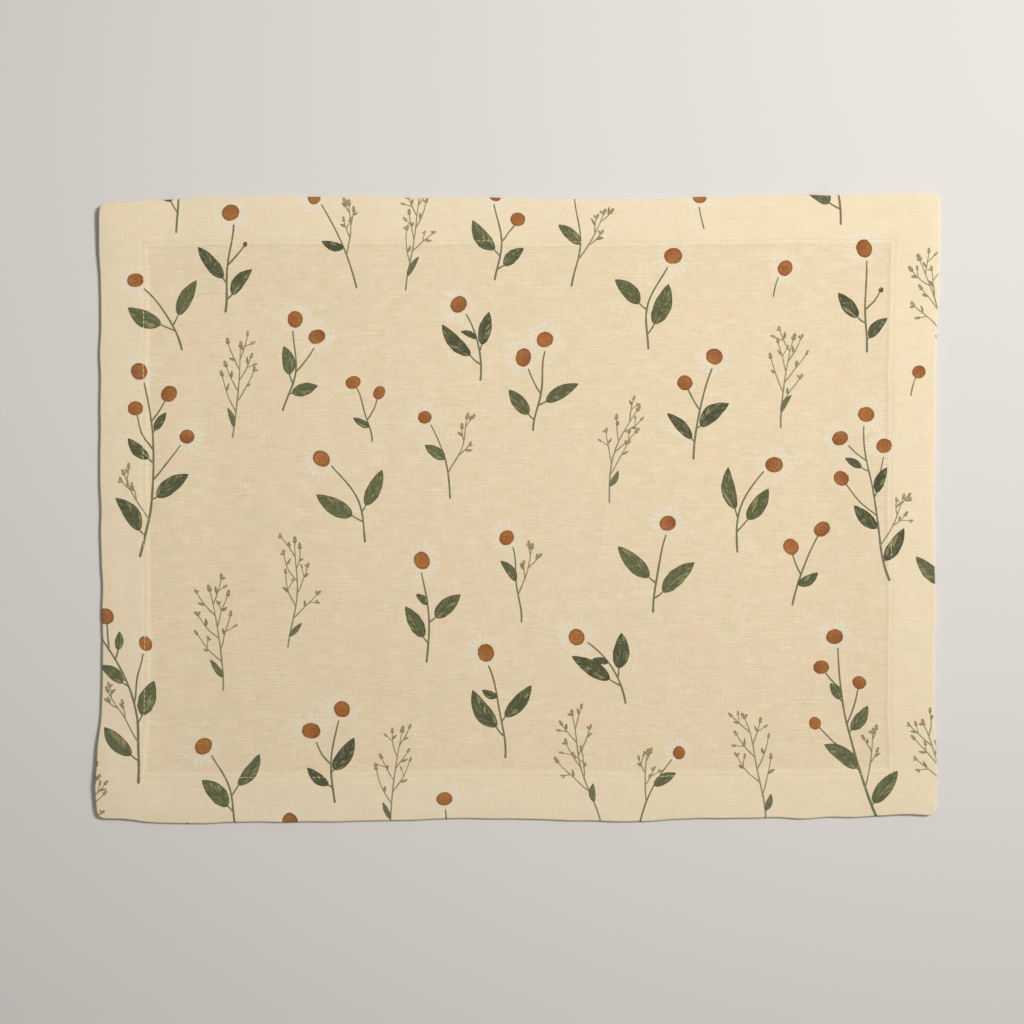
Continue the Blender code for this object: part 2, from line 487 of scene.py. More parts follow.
class Sprig:
    """One printed plant, drawn from its foot at (0, 0). Where a size or a turn is given as a
    pair of numbers, it is drawn at random between them."""

    def __init__(self, rng):
        self.rng = rng
        self.shapes = []
        self.leaf_ink = self.one_of(LEAF_INKS)

    def one_of(self, choices):
        return choices[self.rng.integers(len(choices))]

    def either_side(self):
        return self.rng.choice((-1, 1))

    def drawn(self, *sizes):
        return [self.rng.uniform(*size) if isinstance(size, tuple) else size for size in sizes]

    def shape(self, layer, outline, ink, cover, kind=PLAIN, inner=(), foot=(0, 0), heading=0.0,
              length=1.0, breadth=1.0, bend=0.0):
        self.shapes.append(Shape(
            kind, layer, np.array(outline, float), np.array(inner, float).reshape(-1, 2), ink,
            cover, np.array(foot, float), heading, length, breadth, bend, self.rng.random(),
        ))

    def stem(self, foot, heading, length, curve, thick, thin, ink=STEM_INK):
        """A stem that turns by curve on its way. Its width wavers as a brush stroke does."""
        count = max(4, int(length / STEM_STEP) + 1)
        share = np.linspace(0, 1, count)
        sway = self.rng.uniform(-STEM_SWAY, STEM_SWAY)
        way = heading + curve * share + sway * np.sin(TURN * share)
        steps = length / (count - 1) * direction((way[1:] + way[:-1]) / 2)
        line = np.asarray(foot, float) + np.concatenate([[[0, 0]], np.cumsum(steps, axis=0)])
        waver = 1 + self.rng.uniform(-STEM_WAVER, STEM_WAVER, count)
        half = np.linspace(thick, thin, count) * waver / 2
        across = direction(way + UP) * half[:, None]
        butt = line[0] - direction(way[0]) * half[0]
        tip = line[-1] + direction(way[-1]) * half[-1]
        outline = np.vstack([[butt], line - across, [tip], (line + across)[::-1]])
        self.shape(STEMS, outline, ink, STEM_COVER)
        return Stem(line, way)

    def main_stem(self, length, side, curve, thick, thin, ink=STEM_INK):
        """The stem that stands on the plant's foot and leans over to a side."""
        length, curve = self.drawn(length, curve)
        return self.stem((0, 0), UP, length, side * curve, thick, thin, ink)

    def branch(self, stem, share, side, turn, length, curve, thick, thin, ink=STEM_INK):
        """A stem that leaves another one to a side and curves back up."""
        share, turn, length, curve = self.drawn(share, turn, length, curve)
        foot, heading = on_stem(stem, share)
        return self.stem(foot, heading + side * turn, length, -side * curve, thick, thin, ink)

    def blade(self, foot, heading, length, breadth, ink=None, cover=LEAF_COVER):
        """A leaf blade with its own small bend."""
        ink = self.leaf_ink if ink is None else ink
        bend = self.rng.uniform(-LEAF_BEND, LEAF_BEND) * length
        share = LEAF_PLACES if length > SMALL_LEAF else LEAF_PLACES[::2]
        waver = 1 + self.rng.uniform(-LEAF_WAVER, LEAF_WAVER, len(share))
        half = breadth / 2 * blade_half(share) * waver
        middle = bend * bowed(share)
        side = [np.stack([share * length, middle + sign * half], axis=1) for sign in (-1, 1)]
        outline = np.vstack([[[0, 0]], side[0], [[length, 0]], side[1][::-1]])
        inner = np.stack([share * length, middle], axis=1)
        self.shape(
            LEAVES, foot + turned(outline, heading), ink, cover, LEAF,
            foot + turned(inner, heading), foot, heading, length, breadth, bend,
        )

    def leaf(self, stem, share, side, length, breadth, stalk=0.0, turn=(0.45, 0.95)):
        """A leaf beside a stem, on a short stalk or on none."""
        share, length, breadth, stalk, turn = self.drawn(share, length, breadth, stalk, turn)
        foot, heading = on_stem(stem, share)
        heading += side * turn
        if stalk:
            back = -side * self.rng.uniform(0, 0.4)
            foot, heading = on_stem(self.stem(foot, heading, stalk, back, 0.95, 0.8), 1.0)
        self.blade(foot, heading + self.rng.uniform(-0.15, 0.15), length, breadth)

    def disc(self, centre, radius, ink):
        """A flower's middle: a round that is a little out of true."""
        rng = self.rng
        around = np.linspace(0, TURN, 20 if radius > SMALL_DISC else 12, endpoint=False)
        lean, squash = rng.uniform(0, TURN), rng.uniform(0.02, 0.12)
        edge = radius * (1 + squash * np.cos(2 * (around - lean)))
        edge *= 1 + rng.uniform(-0.03, 0.03, len(around))
        self.shape(
            FLOWERS, centre + direction(around) * edge[:, None], ink, DISC_COVER, DISC,
            np.vstack([[centre], centre + 0.5 * radius * direction(around[::2])]), centre,
            rng.uniform(0, TURN), radius, 2 * radius,
        )

    def petals(self, centre, radius):
        """Thin pale petals over a faint haze, so sheer that many of them hardly show."""
        rng = self.rng
        ring = np.linspace(0, TURN, 16, endpoint=False)
        haze = centre + HAZE_REACH * radius * direction(ring)
        self.shape(PETALS, haze, PETAL_INK, HAZE_COVER)
        count = rng.integers(17, 22)
        clear = rng.uniform(0, TURN)  # they show best on this side
        for around in np.linspace(0, TURN, count, endpoint=False) + rng.uniform(0, 1):
            shows = 0.30 + 0.24 * np.cos(around - clear) + rng.uniform(-0.14, 0.14)
            if shows < PETAL_LEAST:
                continue
            heading = around + rng.uniform(-0.08, 0.08)
            start, end = PETAL_START * radius, radius * rng.uniform(*PETAL_ENDS)
            half = radius * rng.uniform(*PETAL_HALVES)
            petal = np.stack([start + (end - start) * PETAL_ALONG, half * PETAL_ACROSS], axis=1)
            self.shape(PETALS, centre + turned(petal, heading), PETAL_INK, 0.15 + 0.65 * shows)

    def daisy(self, stem, radius=(4.1, 4.8)):
        """A daisy at the end of a stem, which stops short of it under the petals."""
        [radius] = self.drawn(radius)
        tip, heading = on_stem(stem, 1.0)
        centre = tip + direction(heading + self.rng.uniform(-0.3, 0.3)) * radius * 1.5
        self.petals(centre, radius)
        self.disc(centre, radius, self.one_of(CENTRE_INKS))

    def button(self, stem, radius=(3.6, 4.5)):
        """A round flower head without petals."""
        [radius] = self.drawn(radius)
        tip, heading = on_stem(stem, 1.0)
        self.disc(tip + direction(heading) * radius * 0.8, radius, self.one_of(CENTRE_INKS))

    def bud(self, stem, size=1.4):
        """A bud, and often a smaller one to its side, outlined and cupped in green."""
        [size] = self.drawn(size)
        tip, heading = on_stem(stem, 1.0)
        around = direction(np.linspace(0, TURN, 10, endpoint=False))
        for turn in ((-0.15, 1.15) if self.rng.random() < 0.4 else (0.0,)):
            ink = self.one_of(BUD_INKS)
            cup = (np.array([1.1, 0.0]) + around * (1.1, 0.7)) * size
            bud = (np.array([1.2, 0.0]) + around * (0.85, 0.48)) * size
            self.shape(LEAVES, tip + turned(cup, heading + turn), BRACT_INKS[0], CUP_COVER)
            self.shape(FLOWERS, tip + turned(bud, heading + turn), ink, BUD_COVER)
            size *= 0.8
        foot = tip - direction(heading) * 0.6
        for turn in (-0.7, 0.7):
            self.blade(foot, heading + turn, size * 1.7, size * 0.65, BRACT_INKS[0], BRACT_COVER)

    def bract(self, stem, share, side):
        """One of the tiny leaves on a twig."""
        share, turn, length, breadth = self.drawn(share, (0.4, 0.8), (2.8, 4.8), (1.2, 1.8))
        foot, heading = on_stem(stem, share)
        ink = self.one_of(BRACT_INKS)
        self.blade(foot, heading + side * turn, length, breadth, ink, BRACT_COVER)

    def dot(self, stem):
        """A small dark bud that hasn't opened."""
        tip, _ = on_stem(stem, 1.0)
        self.disc(tip, self.rng.uniform(1.1, 1.5), DOT_INK)

    def budding(self, stem, first, last, count, reach):
        """Side shoots with buds and bracts, in turn on the two sides and shorter upwards."""
        rng = self.rng
        side = self.either_side()
        for share in np.linspace(first, last, count):
            length = reach * (1.2 - 0.65 * share) * rng.uniform(0.8, 1.15)
            shoot = self.branch(
                stem, share, side, (0.45, 0.75), length, (0.1, 0.5), 0.75, 0.55, TWIG_INK
            )
            self.bud(shoot, (1.0, 1.5))
            twist = self.either_side()
            if length > 8 and rng.random() < 0.75:
                short = self.branch(
                    shoot, (0.5, 0.65), twist, (0.6, 0.9), (3.5, 5.5), 0.0, 0.6, 0.5, TWIG_INK
                )
                self.bud(short, (0.8, 1.1))
                twist = -twist
            self.bract(shoot, (0.3, 0.75), twist)
            side = -side


def daisy_sprig(sprig):
    """A daisy with two or three stalked leaves."""
    side = sprig.either_side()
    main = sprig.main_stem((38, 50), side, (0.3, 0.8), 1.2, 0.85)
    sprig.daisy(main)
    sprig.leaf(main, (0.16, 0.3), side, (19, 25), (7.8, 9.6), (4, 9), (0.6, 1.05))
    sprig.leaf(main, (0.34, 0.46), -side, (17, 23), (7.2, 9.2), (3, 7), (0.6, 1.1))
    if sprig.rng.random() < 0.3:
        sprig.leaf(main, (0.6, 0.7), side, (8, 11), (3.4, 4.6))


def forked_sprig(sprig):
    """Two flower stems from one foot, with leaves below the fork."""
    side = sprig.either_side()
    main = sprig.main_stem((42, 52), -side, (0.1, 0.4), 1.2, 0.85)
    second = sprig.branch(
        main, (0.46, 0.54), side, (0.65, 0.85), (12, 17), (0.1, 0.35), 0.95, 0.8
    )
    sprig.daisy(main)
    sprig.one_of((sprig.daisy, sprig.button, sprig.dot, sprig.dot))(second)
    sprig.leaf(main, (0.3, 0.4), -side, (16, 21), (6.6, 8.6), (2, 6), (0.7, 1.1))
    sprig.leaf(main, (0.12, 0.22), side, (14, 19), (5.6, 7.6), (1, 5), (0.8, 1.2))


def button_sprig(sprig):
    """Two round heads on thin stems, with a small leaf at most."""
    side = sprig.either_side()
    main = sprig.main_stem((30, 40), -side, (0.2, 0.6), 1.05, 0.8)
    sprig.button(main)
    second = sprig.branch(
        main, (0.36, 0.46), side, (0.7, 0.95), (12, 17), (0.2, 0.5), 0.9, 0.75
    )
    sprig.button(second)
    if sprig.rng.random() < 0.7:
        sprig.leaf(main, (0.2, 0.32), -side, (10, 14), (4, 5.5))


def bud_twig(sprig):
    """A twig of small buds, with one leaf."""
    main = sprig.main_stem((46, 62), 1, (-0.6, 0.6), 1.0, 0.55, TWIG_INK)
    sprig.bud(main, (1.3, 1.7))
    sprig.budding(main, 0.28, 0.86, 6, 19)
    sprig.leaf_ink = STEM_INK
    share = sprig.rng.uniform(0.1, 0.18)
    sprig.leaf(main, share, sprig.either_side(), (9, 13), (2.8, 3.6), turn=0.45)


def mixed_twig(sprig):
    """A budding twig with one open flower."""
    side = sprig.either_side()
    main = sprig.main_stem((40, 52), side, (0.2, 0.5), 1.05, 0.65)
    sprig.daisy(main, (3.4, 4.2))
    shoot = sprig.branch(
        main, (0.3, 0.4), -side, (0.4, 0.6), (24, 32), (0.1, 0.4), 0.85, 0.55, TWIG_INK
    )
    sprig.budding(shoot, 0.35, 0.85, 3, 9)
    sprig.bud(shoot)
    sprig.leaf(main, (0.45, 0.6), side, (11, 16), (4.5, 6.5))


def tall_spray(sprig):
    """A tall stem with several flowers, leaves in turn on its sides and a budding shoot."""
    side, between = sprig.either_side(), sprig.rng.uniform
    main = sprig.main_stem((84, 98), -side, (0.3, 0.75), 1.4, 0.8)
    sprig.daisy(main)
    for share, length in ((0.42, 25), (0.6, 20), (0.78, 13)):
        shoot = sprig.branch(
            main, share + between(-0.03, 0.03), side, between(0.55, 0.8),
            length * between(0.9, 1.1), (0.1, 0.4), 0.95, 0.75,
        )
        sprig.one_of((sprig.daisy, sprig.button))(shoot, (3.2, 4.4))
        side = -side
    for share, length, way in ((0.33, 19, -1), (0.12, 20, 1), (0.54, 15, 1), (0.71, 11, -1)):
        sprig.leaf(main, share, way * side, length * between(0.85, 1.1),
                   length * between(0.38, 0.46), (1, 5), (0.75, 1.1))
    shoot = sprig.branch(
        main, (0.2, 0.26), side, (0.5, 0.8), (24, 32), (0.1, 0.4), 0.85, 0.55, TWIG_INK
    )
    sprig.budding(shoot, 0.45, 0.88, 3, 9)
    sprig.bud(shoot)


def lone_flower(sprig):
    """A single head on a short stem."""
    main = sprig.main_stem((9, 14), 1, (-0.5, 0.5), 0.8, 0.65)
    sprig.one_of((sprig.daisy, sprig.button))(main, (3.4, 4.4))


# Where sprigs are scattered, in the order they are laid out: which, how many at most, the
# ground their feet may stand on, how far they lean to the right, and the room round each
Scatter = namedtuple("Scatter", "sprigs count left right near far lean clear")
EDGE_X, EDGE_Y = HALF
SCATTERS = (
    Scatter((tall_spray,), 2, -EDGE_X + 4, -EDGE_X + 36, -EDGE_Y - 12, 60, 0.06, 30),
    Scatter((tall_spray,), 2, EDGE_X - 36, EDGE_X - 4, -EDGE_Y - 12, 60, -0.06, 30),
    Scatter((forked_sprig, mixed_twig, bud_twig), 5, -170, 170, EDGE_Y - 62, EDGE_Y - 40, 0.0, 20),
    Scatter((bud_twig, mixed_twig, daisy_sprig), 4, -170, 170, -EDGE_Y - 8, -EDGE_Y + 4, 0.0, 20),
    Scatter((daisy_sprig, forked_sprig), 11, -190, 190, -EDGE_Y + 8, EDGE_Y - 66, 0.0, 20),
    Scatter((button_sprig, mixed_twig), 4, -200, 200, -EDGE_Y + 4, EDGE_Y - 56, 0.0, 16),
    Scatter((bud_twig,), 4, -210, 210, -EDGE_Y, EDGE_Y - 50, 0.0, 15),
    Scatter((lone_flower,), 3, -215, 215, -EDGE_Y + 4, EDGE_Y - 16, 0.0, 14),
    Scatter((daisy_sprig, bud_twig), 26, -CUT_WIDTH / 2, CUT_WIDTH / 2, -CUT_DEPTH / 2 - 20,
            CUT_DEPTH / 2 - 10, 0.0, 13),
)
TRIES = 150
SIZES = (0.92, 1.08)
LEANS = 0.2  # radians, as the spread of how far sprigs lean
GROUND = np.array([CUT_WIDTH, CUT_DEPTH]) + 90
GROUND_CELL = 3.0  # the room to the nearest sprig is kept for squares of this size


def placed(shape, foot, angle, size, flip):
    """A shape of a sprig that is mirrored or not, resized, turned and moved to its foot."""
    mirror = np.array([-1.0 if flip else 1.0, 1.0]) * size
    outline, inner, shape_foot = (
        foot + turned(points * mirror, angle)
        for points in (shape.outline, shape.inner, shape.foot)
    )
    return shape._replace(
        outline=outline[::-1] if flip else outline,
        inner=inner,
        foot=shape_foot,
        heading=(np.pi - shape.heading if flip else shape.heading) + angle,
        length=shape.length * size,
        breadth=shape.breadth * size,
        bend=shape.bend * size * (-1 if flip else 1),
    )


def scatter_print(seed):
    """Lays out the whole cut cloth: every sprig is new, and keeps clear of the others."""
    rng = np.random.default_rng(seed)
    cells = (GROUND / GROUND_CELL).astype(int)
    ground_x, ground_y = (
        (np.arange(count) + 0.5) * GROUND_CELL - side / 2 for count, side in zip(cells, GROUND)
    )
    room = np.full(cells[::-1], GROUND[0])  # how far it is to the nearest sprig
    shapes = []
    for scatter in SCATTERS:
        for turn in range(scatter.count):
            sprig = Sprig(rng)
            scatter.sprigs[turn % len(scatter.sprigs)](sprig)
            flip, size = rng.random() < 0.5, rng.uniform(*SIZES)
            mirror = np.array([-1.0 if flip else 1.0, 1.0]) * size
            body = np.vstack([shape.outline[::4] for shape in sprig.shapes]) * mirror
            best = (GROUND[0] + 1, None)
            for _ in range(TRIES):
                foot = np.array([rng.uniform(scatter.left, scatter.right),
                                 rng.uniform(scatter.near, scatter.far)])
                angle = rng.normal(0, LEANS) - scatter.lean
                points = foot + turned(body, angle)
                spot = ((points + GROUND / 2) / GROUND_CELL).astype(int).clip(0, cells - 1)
                least = room[spot[:, 1], spot[:, 0]].min()
                if scatter.clear <= least < best[0]:
                    best = (least, (foot, angle), points)
            if best[1]:
                shapes += [placed(shape, *best[1], size, flip) for shape in sprig.shapes]
                for x, y in best[2][::2]:
                    away = np.hypot(ground_x[None, :] - x, ground_y[:, None] - y)
                    np.minimum(room, away, out=room)
    return sorted(shapes, key=lambda shape: shape.layer)


# ---- the cloth cut into faces along the print --------------------------------------------

# Where lines of points run, in from the folded edge, and which of them are kept as edges
RIM = 0.03  # where the top and the underside meet
FOLD_END = 0.9
TOP_LINES = (
    RIM, 0.12, 0.45, FOLD_END, 2.0, 4.5, 8.0, 12.0, 16.0, 19.5, 21.8, 22.7, STITCH_LINE, 24.1,
    24.8, 25.6, 26.4, 27.2, 29.0,
)
TOP_RINGS = (RIM, FOLD_END, STITCH_LINE)
TOP_SPACING = 3.0
UNDER_LINES = (
    RIM, 0.12, 0.45, FOLD_END, 3.0, 9.0, 16.0, 22.4, STITCH_LINE, 24.4, *HEM_EDGE, 27.2, 31.0,
    38.0, 48.0,
)
UNDER_RINGS = (RIM, FOLD_END, *HEM_EDGE)
UNDER_SPACING = 8.0
MITRE_SIDES = (0.35, 0.8, 1.6)  # rows of points beside each folded corner
MITRE_SPACING = 1.5
SAME_POINT = 0.01  # points closer than this become one

FIELD, RIGHT, LEFT, FAR, NEAR = range(5)  # the parts of the underside
FOLDS = {RIGHT: (0, 1), LEFT: (0, -1), FAR: (1, 1), NEAR: (1, -1)}  # across which axis, which way
SHOW_THROUGH = 0.20  # how much of the print shows on the back of the single layer
LEAST_SHOWN = 3.0  # what is smaller doesn't show there

Flat = namedtuple("Flat", "points faces owner cloth")


def lines_across(side, from_edge, spacing):
    """Where lines of points run: at given distances in from both edges, and evenly between."""
    near = np.array(from_edge)
    inner = side / 2 - near[-1]
    middle = np.linspace(-inner, inner, round(2 * inner / spacing) + 1)
    return np.concatenate([near[:-1] - side / 2, middle, side / 2 - near[-2::-1]])


def folded(points, part):
    """Points of the flat cloth turned under at one fold, or turned back out again."""
    axis, way = FOLDS[part]
    points = points.copy()
    points[..., axis] = way * 2 * HALF[axis] - points[..., axis]
    return points


def part_under(points):
    """Which part of the underside points are on."""
    x, y = points.T
    left_right = np.where(x > 0, RIGHT, LEFT)
    hem = np.where(beside_mitre(points) < 0, left_right, np.where(y > 0, FAR, NEAR))
    return np.where(from_fold(points) > HEM_EDGE[1], FIELD, hem)


def cut_flat(from_edge, spacing, rings, mitre_end, outlines, inner):
    """Triangles of the finished mat with every outline, ring and mitre kept as edges."""
    lines_x, lines_y = (lines_across(side, from_edge, spacing) for side in (WIDTH, DEPTH))
    points = [np.stack(np.meshgrid(lines_x, lines_y), axis=-1).reshape(-1, 2)]
    index = np.arange(len(points[0])).reshape(len(lines_y), len(lines_x))
    kept = []
    for ring in map(from_edge.index, rings):
        inside = index[ring : len(lines_y) - ring, ring : len(lines_x) - ring]
        kept += [inside[0], inside[-1], inside[:, 0], inside[:, -1]]
    if mitre_end:
        corner = np.arange(from_edge.index(mitre_end) + 1)
        for seen in (index, index[::-1], index[:, ::-1], index[::-1, ::-1]):
            kept.append(seen[corner, corner])
        for away in MITRE_SIDES:
            along = np.arange(away + 0.5, HEM_WIDTH - away - 0.5, MITRE_SPACING)
            for step in ((0, away), (away, 0)):
                beside = HALF - along[:, None] - step
                points += [beside * signs for signs in product((-1, 1), repeat=2)]
    edges = [edge for line in kept for edge in zip(line[:-1].tolist(), line[1:].tolist())]
    points += inner
    start = sum(len(group) for group in points)
    polygons = []
    for outline in outlines:
        polygons.append(list(range(start, start + len(outline))))
        start += len(outline)
    places = [Vector(point) for point in np.vstack(points + outlines).tolist()]
    made = delaunay_2d_cdt(places, edges, polygons, 0, SAME_POINT, True)
    flat = np.array([point[:] for point in made[0]])
    faces = np.array(made[2])
    middle = np.abs(flat[faces].mean(axis=1))
    on_mat = np.flatnonzero((middle < HALF - RIM).all(axis=1))
    used, renumbered = np.unique(faces[on_mat], return_inverse=True)
    return flat[used], renumbered.reshape(-1, 3), [made[5][face] for face in on_mat]


def anticlockwise(outline):
    x, y = outline.T
    area = (x * np.roll(y, -1) - y * np.roll(x, -1)).sum()
    return outline if area > 0 else outline[::-1]


def cut_top(shapes):
    """The top of the mat, with the last printed shape that owns each face."""
    kept = [
        index for index, shape in enumerate(shapes)
        if (np.abs(shape.outline) < HALF).all(axis=1).any()
    ]
    points, faces, on = cut_flat(
        TOP_LINES, TOP_SPACING, TOP_RINGS, None,
        [anticlockwise(shapes[index].outline) for index in kept],
        [shapes[index].inner for index in kept],
    )
    owner = np.array([kept[max(found)] if found else -1 for found in on])
    return Flat(points, faces, owner, points[faces])


def cut_under(shapes):
    """The underside: the printed hem turned under, and the pale back of the print inside it."""
    outlines, inner, tags = [], [], []
    for index, shape in enumerate(shapes):
        if shape.length > LEAST_SHOWN and (np.abs(shape.foot) < HALF).all():
            outlines.append(anticlockwise(shape.outline))
            inner.append(shape.inner)
            tags.append((FIELD, index))
        for part, (axis, way) in FOLDS.items():
            past = way * shape.outline[:, axis] - HALF[axis]
            if past.max() > 0 and past.min() < HEM_WIDTH:
                outlines.append(anticlockwise(folded(shape.outline, part)))
                inner.append(folded(shape.inner, part))
                tags.append((part, index))
    points, faces, on = cut_flat(
        UNDER_LINES, UNDER_SPACING, UNDER_RINGS, HEM_EDGE[0], outlines, inner
    )
    parts = part_under(points[faces].mean(axis=1))
    owner = np.full(len(faces), -1)
    for face, found in enumerate(on):
        there = [tag for tag in found if tags[tag][0] == parts[face]]
        if there:
            owner[face] = tags[max(there)][1]
    cloth = points[faces]
    for part in FOLDS:
        cloth[parts == part] = folded(cloth[parts == part], part)
    return Flat(points, faces, owner, cloth), parts


def rim_of(flat):
    """The rim's points in order round the mat, how far round each is, and each step's owner."""
    starts = flat.faces.ravel().tolist()
    ends = np.roll(flat.faces, -1, axis=1).ravel().tolist()
    edges = set(zip(starts, ends))
    step = {
        start: (end, corner // 3)
        for corner, (start, end) in enumerate(zip(starts, ends)) if (end, start) not in edges
    }
    first = int(np.argmin(flat.points @ (-1, 1)))  # the near right corner
    order, owner = [first], []
    while len(order) == 1 or order[-1] != first:
        point, face = step[order[-1]]
        order.append(point)
        owner.append(flat.owner[face])
    strides = np.linalg.norm(np.diff(flat.points[order], axis=0), axis=1)
    way = np.concatenate([[0], np.cumsum(strides)])
    return order, way / way[-1], owner


def join_rim(top, under):
    """The narrow strip of faces between the top's rim and the underside's, and their owners."""
    order_top, way_top, owner_top = rim_of(top)
    order_under, way_under, owner_under = rim_of(under)
    order_under = [point + len(top.points) for point in order_under]
    faces, owner = [], []
    i = j = 0
    while i < len(owner_top) or j < len(owner_under):
        start = (order_top[i], order_under[j])
        if j == len(owner_under) or (i < len(owner_top) and way_top[i + 1] <= way_under[j + 1]):
            faces.append((*start, order_top[i + 1]))
            owner.append(owner_top[i])
            i += 1
        else:
            faces.append((*start, order_under[j + 1]))
            owner.append(owner_under[j])
            j += 1
    return np.array(faces), np.array(owner)


BAKE_MARGIN = 1.5  # mm round the mat on the map that its finish can be baked to
BAKE_UNDER = (0.755, 0.24)  # where the underside starts on that map, and how high it is
BAKE_RIM = 0.7  # mm that the rim's strip stands out from the top there


def bake_places(points, under):
    """Where corners go on the map: the top fills most of it and the underside the rest."""
    sides = 2 * (HALF + BAKE_MARGIN)
    start, high = BAKE_UNDER if under else (0, sides[1] / sides[0])
    return (points + sides / 2) / sides * (1, high) + (0, start)


def on_shape(shape, points):
    """Points of the flat cloth along and across a shape, and how far it reaches there."""
    away = points - shape.foot
    along = away @ direction(shape.heading)
    across = away @ direction(shape.heading + UP)
    reach = np.full_like(along, shape.length)
    if shape.kind == LEAF:
        share = np.clip(along / shape.length, 0, 1)
        across = across - shape.bend * bowed(share)
        reach = shape.breadth / 2 * blade_half(share)
    return np.stack([along, across, reach], axis=-1)


def ink_of(shapes, owner, cloth, shows):
    """What each corner of each face shows of the print, as named lists of values."""
    place, tint, kind = (np.zeros(cloth.shape[:2] + (3,)) for _ in range(3))
    cover = np.zeros(cloth.shape[:2])
    order = np.argsort(owner, kind="stable")
    for group in np.split(order, np.flatnonzero(np.diff(owner[order])) + 1):
        if owner[group[0]] < 0:
            continue
        shape = shapes[owner[group[0]]]
        place[group] = on_shape(shape, cloth[group])
        tint[group] = linear_colour(shape.ink)[:3]
        kind[group] = (*shape.kind, shape.seed)
        cover[group] = shape.cover
    cover *= shows[:, None]
    return {"ink_place": place, "ink_tint": tint, "ink_kind": kind, "ink_cover": cover}


def make_cloth(shapes):
    """The finished mat as one closed mesh: top, rim and underside."""
    top = cut_top(shapes)
    under, parts = cut_under(shapes)
    strip, strip_owner = join_rim(top, under)
    places = np.vstack([
        lay(top.points, top_height(top.points)), lay(under.points, under_height(under.points)),
    ])
    faces = np.vstack([top.faces, under.faces[:, ::-1] + len(top.points), strip])
    owner = np.concatenate([top.owner, under.owner, strip_owner])
    finished = np.vstack([top.points, under.points])
    strip_flat = finished[strip]
    cloth = np.vstack([top.cloth, under.cloth[:, ::-1], strip_flat])
    shows = np.ones(len(faces))
    shows[len(top.faces) : -len(strip)][parts == FIELD] = SHOW_THROUGH
    strip_out = strip_flat * (1 + BAKE_RIM / HALF)
    bake = np.vstack([
        bake_places(top.cloth, False),
        bake_places(under.points[under.faces[:, ::-1]], True),
        bake_places(np.where((strip >= len(top.points))[..., None], strip_out, strip_flat), False),
    ])

    mesh = bpy.data.meshes.new("placemat_cloth")
    mesh.from_pydata(places.tolist(), [], faces.tolist())
    mesh.uv_layers.new(name="cloth").data.foreach_set("uv", (cloth * MM).ravel())
    mesh.uv_layers.new(name="OFBake").data.foreach_set("uv", bake.ravel())
    for name, values in ink_of(shapes, owner, cloth, shows).items():
        vector = values.ndim == 3
        layer = mesh.attributes.new(name, "FLOAT_VECTOR" if vector else "FLOAT", "CORNER")
        layer.data.foreach_set("vector" if vector else "value", values.ravel())
    doubled = 1 - eased(from_fold(finished), *LAYERS_END)
    mesh.attributes.new("layers", "FLOAT", "POINT").data.foreach_set("value", doubled)
    # the top is shaded as its surface runs, whatever thin faces the cuts along the print leave,
    # and the underside, whose normals are nought here, as its faces run
    mesh.shade_smooth()
    mesh.normals_split_custom_set_from_vertices(np.vstack([
        facing(top.points, top_height), np.zeros((len(under.points), 3)),
    ]).tolist())
    return into_scene(mesh)


# ---- the stitching -----------------------------------------------------------------------

STITCH_LENGTH = 2.25
STITCH_THICKNESS = 0.36
STITCH_HEIGHT = 0.22  # pulled flat against the cloth
STITCH_SINK = 0.02
STITCH_LEAN = 0.07  # radians, as a lock stitch lies a little slantwise
STITCH_SWING = 0.05
STITCH_EVENNESS = (0.92, 1.04)
GRAIN_SIDES = 6


def stitch_places():
    """The middle and heading of each stitch on the flat mat, side after side."""
    corners = (HALF - STITCH_LINE) * [(1, -1), (1, 1), (-1, 1), (-1, -1)]
    middles, headings = [], []
    for start, end in zip(corners, np.roll(corners, -1, axis=0)):
        x, y = end - start
        count = round(np.hypot(x, y) / STITCH_PITCH)
        share = (np.arange(count)[:, None] + 0.5) / count
        middles.append(start + share * (end - start))
        headings.append(np.full(count, np.arctan2(y, x)))
    return np.vstack(middles), np.concatenate(headings)


